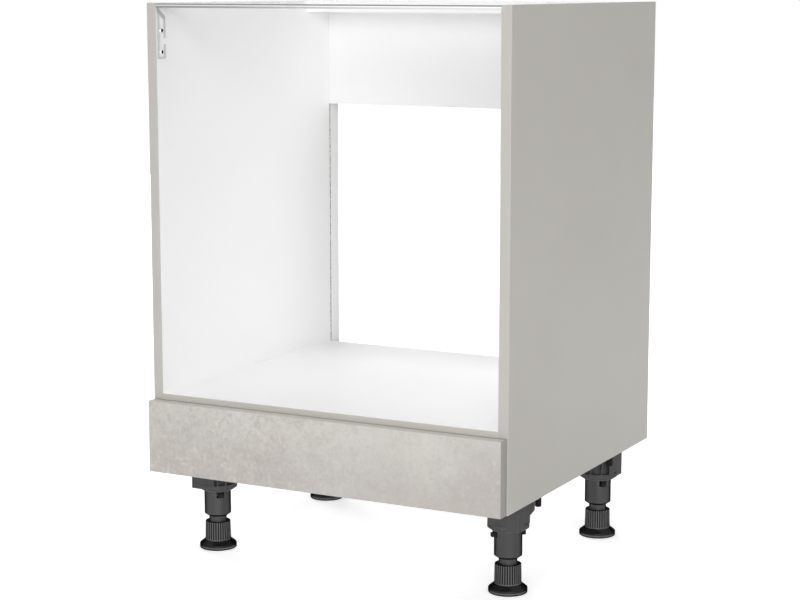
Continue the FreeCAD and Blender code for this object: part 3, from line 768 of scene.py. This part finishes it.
def adjuster_grid(sizes, base_radius, base, top):
    """Radius, height, depth of hollow and share of ridge, 0 to 1, of an adjuster at each point of a grid.

    The outline runs from the pivot's bore over the base, the ledge, the grip and the neck to the spindle's
    top. A flute takes off sqrt(R^2 - s^2) - (R - d), where s is the distance round the grip from the
    flute's middle. The right-hand thread follows the turn t = z / pitch - angle / (2 pi): it cuts in by a
    share of its depth, flank times |t - 1/2| less crest, kept between 0 and 1.
    """
    bore_room, ledge_step, point_gap, touch = 0.001, 0.0004, 0.00042, 1e-6
    grip_skin, flute_run_out = 0.0012, 0.0006
    flank, crest, spindle_wall, thread_run_in, thread_run_out = 4.0, 0.7, 0.002, 0.002, 0.0008
    bore = sizes.pivot_radius + sizes.pivot_play
    bore_top = base + sizes.pivot_length + bore_room
    ledge_top = base + sizes.grip_ledge
    grip_top = base + sizes.grip_height
    neck_top = grip_top + sizes.neck
    outline = eased([
        (0.0, bore_top, 0.0), (bore, bore_top, 0.0), (bore, base, 0.0005), (base_radius, base, 0.0006),
        (base_radius, ledge_top, 0.0004), (base_radius - ledge_step, ledge_top, 0.0),
        (sizes.grip_top_radius, grip_top, sizes.grip_round), (sizes.spindle_radius, grip_top, 0.0007),
        (sizes.spindle_radius, top, sizes.grip_round), (0.0, top, 0.0),
    ])
    radius, height, angle = carried_round(refined(outline, point_gap), ADJUSTER_COLUMNS)
    turn = (angle * sizes.flute_count / FULL_TURN + 0.5) % 1.0 - 0.5
    around = turn * FULL_TURN / sizes.flute_count * sizes.grip_top_radius
    hollow = np.sqrt(np.maximum(sizes.flute_radius ** 2 - around ** 2, 0.0))
    hollow = np.maximum(hollow - (sizes.flute_radius - sizes.flute_depth), 0.0)
    outer = (radius > sizes.grip_top_radius - grip_skin) & (height <= grip_top + touch)
    on_grip = ramp(height - ledge_top, flute_run_out) * outer
    flutes = hollow * on_grip
    phase = (height / sizes.thread_pitch - angle / FULL_TURN) % 1.0
    gap = np.clip(flank * np.abs(phase - 0.5) - crest, 0.0, 1.0)
    on_thread = ramp(height - neck_top, thread_run_in) * ramp(top - thread_run_out - height, thread_run_out)
    thread = gap * on_thread * (radius > bore + spindle_wall)
    shade = np.maximum(flutes / sizes.flute_depth, thread)
    ridge = on_grip * (1.0 - hollow / sizes.flute_depth)
    return radius - flutes - sizes.thread_depth * thread, height, shade, ridge


def pad_grid(sizes, rim_radius, floor):
    """Radius and height of a foot pad: a flat ring on the floor, an upright rim, a cone and the pivot.

    A fine groove is turned into the cone: the outline steps in at the first of two shares of the cone's
    length and comes out again at the second.
    """
    ring_width, ring_slant, ring_height = 0.0052, 0.0008, 0.0014
    groove_shares, step_in, step_out = (0.62, 0.70), (-0.0002, -0.0005), (0.0, -0.0004)
    bend_steps, point_gap = 7, 0.0012
    top, shoulder = floor + sizes.pad_height, floor + sizes.pad_rim
    hollow, pivot_top = floor + ring_height, top + sizes.pivot_length
    cone = np.array([sizes.pad_top_radius - rim_radius, top - shoulder])
    groove_in, groove_out = (np.array([rim_radius, shoulder]) + cone * share for share in groove_shares)
    outline = eased([
        (0.0, hollow, 0.0), (rim_radius - ring_width - ring_slant, hollow, 0.0),
        (rim_radius - ring_width, floor, 0.0002), (rim_radius, floor, sizes.pad_round),
        (rim_radius, shoulder, sizes.pad_round), (*groove_in, 0.0002), (*(groove_in + step_in), 0.0001),
        (*(groove_out + step_out), 0.0001), (sizes.pad_top_radius, top, 0.0006),
        (sizes.pivot_radius, top, 0.0002), (sizes.pivot_radius, pivot_top, 0.0006), (0.0, pivot_top, 0.0),
    ], bend_steps)
    return carried_round(refined(outline, point_gap), PAD_COLUMNS)[:2]


def screw_grid(sizes):
    """Radius, height and recess of a pan-head screw about +Z, its seat at height 0.

    The head's dome is a rounded outline; the cross recess lowers it where the smaller of |x| and |y| is
    within half an arm's width and the larger within half the span, and within the core's radius of the
    axis. The shank's coarse thread is a ridge where the turn z / rise - angle / (2 pi) is near a half.
    """
    thread_rise, flank, run_out, point, point_gap = 0.0017, 3.0, 0.001, 0.003, 0.00025
    recess_wall, arm_end = 0.0002, 0.0004
    tip, core = -sizes.screw_length, sizes.screw_radius * 0.68
    rim, crown = sizes.screw_head_radius, sizes.screw_head_height
    outline = eased([
        (0.0, tip, 0.0), (core * 0.8, tip + point, 0.0003), (core, -0.0005, 0.0), (core, 0.0, 0.0),
        (rim, 0.0, 0.0002), (rim, crown * 0.55, 0.0009), (rim * 0.55, crown, 0.002), (0.0, crown, 0.0),
    ])
    radius, height, angle = carried_round(refined(outline, point_gap), SCREW_COLUMNS)
    first, second = np.abs(radius * np.cos(angle)), np.abs(radius * np.sin(angle))
    arm = ramp(sizes.recess_width / 2 - np.minimum(first, second), recess_wall, 0.5)
    reach = ramp(sizes.recess_span / 2 - np.maximum(first, second), arm_end, 0.5)
    middle = ramp(sizes.recess_core - radius, recess_wall, 0.5)
    recess = np.maximum(arm * reach, middle) * (height > crown * 0.5)
    phase = (height / thread_rise - angle / FULL_TURN) % 1.0
    ridge = np.clip(1.0 - flank * np.abs(phase - 0.5), 0.0, 1.0)
    on_shank = ramp(-run_out - height, run_out) * ramp(height - tip, point)
    radius = radius + ridge * on_shank * (sizes.screw_radius - core)
    return radius, height - recess * sizes.recess_depth, recess


def turn_to(direction):
    """The turn, as a 3 by 3 array, that carries +Z to a direction."""
    return np.array(Vector(direction).to_track_quat("Z", "Y").to_matrix())


def make_screws(name, node, seats, sizes, material):
    """All the screws of one group as one piece: the same grid, turned and moved to each seat."""
    radius, height, recess = screw_grid(sizes)
    points = turned_points(radius, height)
    quads, fans = turned_faces(*radius.shape)
    turns = np.array([turn_to(direction) for _, direction in seats])
    places = np.array([place for place, _ in seats])
    everywhere = np.einsum("sij,pj->spi", turns, points) + places[:, None]
    offsets = (np.arange(len(seats)) * len(points))[:, None, None]
    thing = make_piece(
        name, everywhere.reshape(-1, 3), (quads + offsets).reshape(-1, 4), (fans + offsets).reshape(-1, 3),
        material, CABINET, "screw_steel",
    )
    mark(thing, "recess", np.tile(point_values(recess), len(seats)))
    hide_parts(node)
    return thing


def tab_screw_seats():
    """Seats on the rail tabs, two on each, their heads towards the niche."""
    low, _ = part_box("left_rail_tab")
    sheet, inset = 0.0012, 0.0105
    return [
        ((side * (abs(low.x) - sheet), low.y + inset, low.z + rise), (-side, 0.0, 0.0))
        for side in (-1, 1) for rise in (TAB_SCREW_FIRST, TAB_SCREW_FIRST + TAB_SCREW_PITCH)
    ]


def front_screw_seats():
    """Seats on the brackets behind the front panel: one in the board and one in the panel for each."""
    low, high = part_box("front_panel_brackets")
    sheet, along, half_width = 0.0015, 0.012, 0.012
    seats = []
    for x in (low.x + half_width, high.x - half_width):
        for floor, rise in ((low.z, 1.0), (high.z, -1.0)):
            seats.append(((x, low.y + along, floor + rise * sheet), (0.0, 0.0, rise)))
            seats.append(((x, low.y + sheet, floor + rise * along), (0.0, 1.0, 0.0)))
    return seats


def back_screw_seats():
    """Seats on the rear face of the back strip, level with the rear rail."""
    inset = 0.064
    _, strip_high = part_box("back_strip")
    rail_low, rail_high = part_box("rear_rail")
    reach = rail_high.x - inset
    z = (rail_low.z + rail_high.z) / 2
    return [((x, strip_high.y, z), (0.0, 1.0, 0.0)) for x in (-reach, 0.0, reach)]


def socket_screw_seats():
    """Seats under the plates of the leg sockets, three on each, away from the square corner."""
    near, far = 0.012, -0.033
    seats = []
    for corner in CORNERS:
        low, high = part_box(f"{corner}_leg_socket")
        middle = (low + high) / 2
        aside = math.copysign(1.0, middle.x)
        behind = math.copysign(1.0, middle.y)
        for across, along in ((far, far), (far, near), (near, far)):
            place = (middle.x + aside * across, middle.y + behind * along, high.z - SOCKET_PLATE)
            seats.append((place, (0.0, 0.0, -1.0)))
    return seats


class OVENCABINET_OT_boards(bpy.types.Operator):
    """Give the boards their melamine, lacquer and bare edges"""

    bl_idname = "oven_cabinet.boards"
    bl_label = "Boards"

    def execute(self, context):
        colours = context.scene.oven_cabinet_colours
        side = side_board(colours)
        dress("left_side_panel", side)
        dress("right_side_panel", side)
        for node in ("oven_shelf", "bottom_panel", "rear_rail"):
            dress(node, white_board(node, colours))
        dress("back_strip", hardboard(colours))
        return {"FINISHED"}


class OVENCABINET_OT_edge_bands(bpy.types.Operator):
    """Give the edge bands their satin plastic"""

    bl_idname = "oven_cabinet.edge_bands"
    bl_label = "Edge bands"

    def execute(self, context):
        colours = context.scene.oven_cabinet_colours
        upright = edge_band("side_band", colours.side_band, (900.0, 900.0, 2.5))
        dress("left_side_edge_band", upright)
        dress("right_side_edge_band", upright)
        dress("shelf_edge_band", edge_band("shelf_band", colours.shelf_band, (2.5, 900.0, 900.0)))
        return {"FINISHED"}


class OVENCABINET_OT_front_panel(bpy.types.Operator):
    """Give the front panel its concrete decor and its bands"""

    bl_idname = "oven_cabinet.front_panel"
    bl_label = "Front panel"

    def execute(self, context):
        colours = context.scene.oven_cabinet_colours
        dress("front_panel", concrete(colours))
        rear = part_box("front_panel")[1].y
        dress("front_panel_long_bands", edge_band("long_band", colours.long_band, (2.5, 900.0, 900.0), rear))
        dress("front_panel_end_bands", edge_band("end_band", colours.end_band, (900.0, 900.0, 2.5)))
        return {"FINISHED"}


class OVENCABINET_OT_sheet_steel(bpy.types.Operator):
    """Give the rail, its tabs and the brackets their zinc and rounded edges"""

    bl_idname = "oven_cabinet.sheet_steel"
    bl_label = "Sheet steel"

    def execute(self, context):
        colours = context.scene.oven_cabinet_colours
        dress("front_rail", zinc_sheet("zinc_rail", colours.zinc, (8.0, 700.0, 700.0), rail_bend_shade))
        tab = zinc_sheet("zinc_tab", colours.zinc, (700.0, 700.0, 8.0), tab_rim_shade)
        dress("left_rail_tab", tab)
        dress("right_rail_tab", tab)
        dress("front_panel_brackets", zinc_sheet("zinc_bracket", colours.zinc, (8.0, 700.0, 700.0)))
        for node in ("front_rail", "left_rail_tab", "right_rail_tab", "front_panel_brackets"):
            soften(node, 0.0003)
        return {"FINISHED"}


class OVENCABINET_OT_screws(bpy.types.Operator):
    """Turn the pan-head screws with their cross recesses"""

    bl_idname = "oven_cabinet.screws"
    bl_label = "Screws"

    def execute(self, context):
        sizes = context.scene.oven_cabinet_sizes
        steel = screw_steel(context.scene.oven_cabinet_colours)
        groups = {
            "rail_tab": tab_screw_seats, "front_panel": front_screw_seats,
            "back_strip": back_screw_seats, "leg_socket": socket_screw_seats,
        }
        for group, seats in groups.items():
            make_screws(f"{group}_pan_heads", f"{group}_screws", seats(), sizes, steel)
        return {"FINISHED"}


class OVENCABINET_OT_dowels(bpy.types.Operator):
    """Give the dowels their bare beech"""

    bl_idname = "oven_cabinet.dowels"
    bl_label = "Dowels"

    def execute(self, context):
        wood = beech(context.scene.oven_cabinet_colours)
        for node in ("shelf_dowels", "bottom_dowels", "rear_rail_dowels"):
            dress(node, wood)
        return {"FINISHED"}


class OVENCABINET_OT_legs(bpy.types.Operator):
    """Give the leg sockets and tubes their moulded plastic"""

    bl_idname = "oven_cabinet.legs"
    bl_label = "Leg sockets and tubes"

    def execute(self, context):
        colours = context.scene.oven_cabinet_colours
        tube = tube_plastic(colours)
        for corner in CORNERS:
            dress(f"{corner}_leg_socket", socket_plastic(corner, colours))
            dress(f"{corner}_leg_tube", tube)
        return {"FINISHED"}


class OVENCABINET_OT_adjusters(bpy.types.Operator):
    """Turn the four adjusters: fluted grip, neck and threaded spindle"""

    bl_idname = "oven_cabinet.adjusters"
    bl_label = "Adjusters"

    def execute(self, context):
        sizes = context.scene.oven_cabinet_sizes
        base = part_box("front_left_leg_adjuster")[0].z
        plastic = adjuster_plastic(
            context.scene.oven_cabinet_colours, base + sizes.grip_ledge / 3, base + sizes.grip_ledge * 1.2
        )
        for corner in CORNERS:
            node = f"{corner}_leg_adjuster"
            low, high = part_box(node)
            radius, height, hollow, ridge = adjuster_grid(sizes, (high.x - low.x) / 2, low.z, high.z)
            thing = turned_piece(
                f"{corner}_fluted_adjuster", node, radius, height, plastic,
                f"{corner}_adjuster", "black_plastic",
            )
            mark(thing, "hollow", point_values(hollow))
            mark(thing, "ridge", point_values(ridge))
        return {"FINISHED"}


class OVENCABINET_OT_foot_pads(bpy.types.Operator):
    """Turn the four foot pads"""

    bl_idname = "oven_cabinet.foot_pads"
    bl_label = "Foot pads"

    def execute(self, context):
        sizes = context.scene.oven_cabinet_sizes
        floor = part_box("front_left_foot_pad")[0].z
        plastic = pad_plastic(context.scene.oven_cabinet_colours, floor, floor + sizes.pad_rim)
        for corner in CORNERS:
            node = f"{corner}_foot_pad"
            low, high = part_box(node)
            radius, height = pad_grid(sizes, (high.x - low.x) / 2, low.z)
            turned_piece(
                f"{corner}_turned_pad", node, radius, height, plastic, f"{corner}_pad", "black_pad"
            )
        return {"FINISHED"}


def seen_ray(tree):
    """1 for rays that come from the camera or from a mirror or glass, else 0."""
    path = tree.nodes.new("ShaderNodeLightPath")
    total = path.outputs["Is Camera Ray"]
    for name in ("Is Glossy Ray", "Is Transmission Ray"):
        step = tree.nodes.new("ShaderNodeMath")
        step.operation = "MAXIMUM"
        tree.links.new(total, step.inputs[0])
        tree.links.new(path.outputs[name], step.inputs[1])
        total = step.outputs[0]
    return total


def add_light(name, power, turn, rise, distance, size):
    """A square soft light that looks at the cabinet's middle.

    Its turn is in degrees to the right of the front, its rise in degrees above the level.
    """
    turn, rise = math.radians(turn), math.radians(rise)
    aim = Vector((math.cos(rise) * math.sin(turn), -math.cos(rise) * math.cos(turn), math.sin(rise)))
    lamp = bpy.data.lights.new(name, "AREA")
    lamp.size = size
    lamp.energy = power
    thing = bpy.data.objects.new(name, lamp)
    thing.location = (Vector(CAD_BOX[0]) + Vector(CAD_BOX[1])) / 2 + aim * distance
    thing.rotation_euler = aim.to_track_quat("Z", "Y").to_euler()
    bpy.context.scene.collection.objects.link(thing)
    return thing


class OVENCABINET_OT_studio(bpy.types.Operator):
    """Set up the floor, the light and the camera"""

    bl_idname = "oven_cabinet.studio"
    bl_label = "Studio"

    def execute(self, context):
        scene = context.scene
        studio = scene.oven_cabinet_studio
        scene.view_settings.view_transform = "Standard"
        self.make_floor(scene, studio)
        self.make_world(scene, studio)
        add_light("key_light", studio.key_power, turn=38.0, rise=9.0, distance=6.0, size=4.2)
        add_light("front_light", studio.front_power, turn=8.0, rise=8.0, distance=6.0, size=4.2)
        add_light("top_light", studio.top_power, turn=0.0, rise=80.0, distance=3.6, size=2.4)
        rear = add_light("rear_light", studio.rear_power, turn=232.0, rise=8.0, distance=6.0, size=3.2)
        rear.visible_glossy = False
        camera = bpy.data.cameras.new("studio_camera")
        camera.lens = studio.lens
        camera.sensor_width = 36.0
        thing = bpy.data.objects.new("studio_camera", camera)
        thing.location = studio.camera_place
        thing.rotation_euler = (math.pi / 2 - studio.camera_drop, 0.0, studio.camera_turn)
        scene.collection.objects.link(thing)
        scene.camera = thing
        return {"FINISHED"}

    def make_floor(self, scene, studio):
        """A wide pale floor that shows white where it is lit and keeps the cabinet's shadow."""
        reach = 12.0
        mesh = bpy.data.meshes.new("studio_floor")
        mesh.from_pydata(
            [(-reach, -reach, 0.0), (reach, -reach, 0.0), (reach, reach, 0.0), (-reach, reach, 0.0)], [],
            [(0, 1, 2, 3)],
        )
        finish = Finish("studio_floor", 0.9, specular_ior_level=0.0, emission_color=WHITE)
        finish.paint(finish.tint(finish.noise(3.0), scene.oven_cabinet_colours.floor, 0.01))
        away = finish.add("ShaderNodeVectorMath", {0: finish.place}, operation="LENGTH").outputs["Value"]
        glow = finish.between(away, studio.floor_near, studio.floor_far, studio.floor_glow, 1.0)
        finish.put(
            finish.shader.inputs["Emission Strength"], finish.calc("MULTIPLY", seen_ray(finish.tree), glow)
        )
        mesh.materials.append(finish.material)
        floor = bpy.data.objects.new("studio_floor", mesh)
        scene.collection.objects.link(floor)

    def make_world(self, scene, studio):
        """White to the camera and in reflections, softer as light on the cabinet."""
        world = bpy.data.worlds.new("studio_world")
        world.use_nodes = True
        tree = world.node_tree
        background = tree.nodes["Background"]
        background.inputs["Color"].default_value = WHITE
        level = tree.nodes.new("ShaderNodeMapRange")
        level.inputs["To Min"].default_value = studio.ambient
        level.inputs["To Max"].default_value = 1.0
        tree.links.new(seen_ray(tree), level.inputs["Value"])
        tree.links.new(level.outputs["Result"], background.inputs["Strength"])
        scene.world = world


class OVENCABINET_PT_tools(bpy.types.Panel):
    """Lists the steps that dress the cabinet, and its settings"""

    bl_label = "Oven base cabinet"
    bl_idname = "OVENCABINET_PT_tools"
    bl_space_type = "VIEW_3D"
    bl_region_type = "UI"
    bl_category = "Oven cabinet"

    def draw(self, context):
        for operator in OPERATORS:
            self.layout.operator(operator.bl_idname)
        for group in SETTINGS:
            settings = getattr(context.scene, group)
            for name in settings.bl_rna.properties.keys():
                if name not in {"rna_type", "name"}:
                    self.layout.prop(settings, name)


OPERATORS = (
    OVENCABINET_OT_boards, OVENCABINET_OT_edge_bands, OVENCABINET_OT_front_panel, OVENCABINET_OT_sheet_steel,
    OVENCABINET_OT_screws, OVENCABINET_OT_dowels, OVENCABINET_OT_legs, OVENCABINET_OT_adjusters,
    OVENCABINET_OT_foot_pads, OVENCABINET_OT_studio,
)
SETTINGS = {
    "oven_cabinet_colours": CabinetColours,
    "oven_cabinet_sizes": FittingSizes,
    "oven_cabinet_studio": StudioSettings,
}


def register():
    """Makes the settings, the operators and the panel known to Blender."""
    for name, group in SETTINGS.items():
        bpy.utils.register_class(group)
        setattr(bpy.types.Scene, name, PointerProperty(type=group))
    for kind in (*OPERATORS, OVENCABINET_PT_tools):
        bpy.utils.register_class(kind)


def unregister():
    """Takes them out again."""
    for kind in reversed((*OPERATORS, OVENCABINET_PT_tools)):
        bpy.utils.unregister_class(kind)
    for name, group in SETTINGS.items():
        delattr(bpy.types.Scene, name)
        bpy.utils.unregister_class(group)


def main():
    """Dresses the cabinet step by step."""
    register()
    for operator in OPERATORS:
        step = getattr(bpy.ops.oven_cabinet, operator.bl_idname.split(".")[1])
        step()


if __name__ == "__main__":
    main()
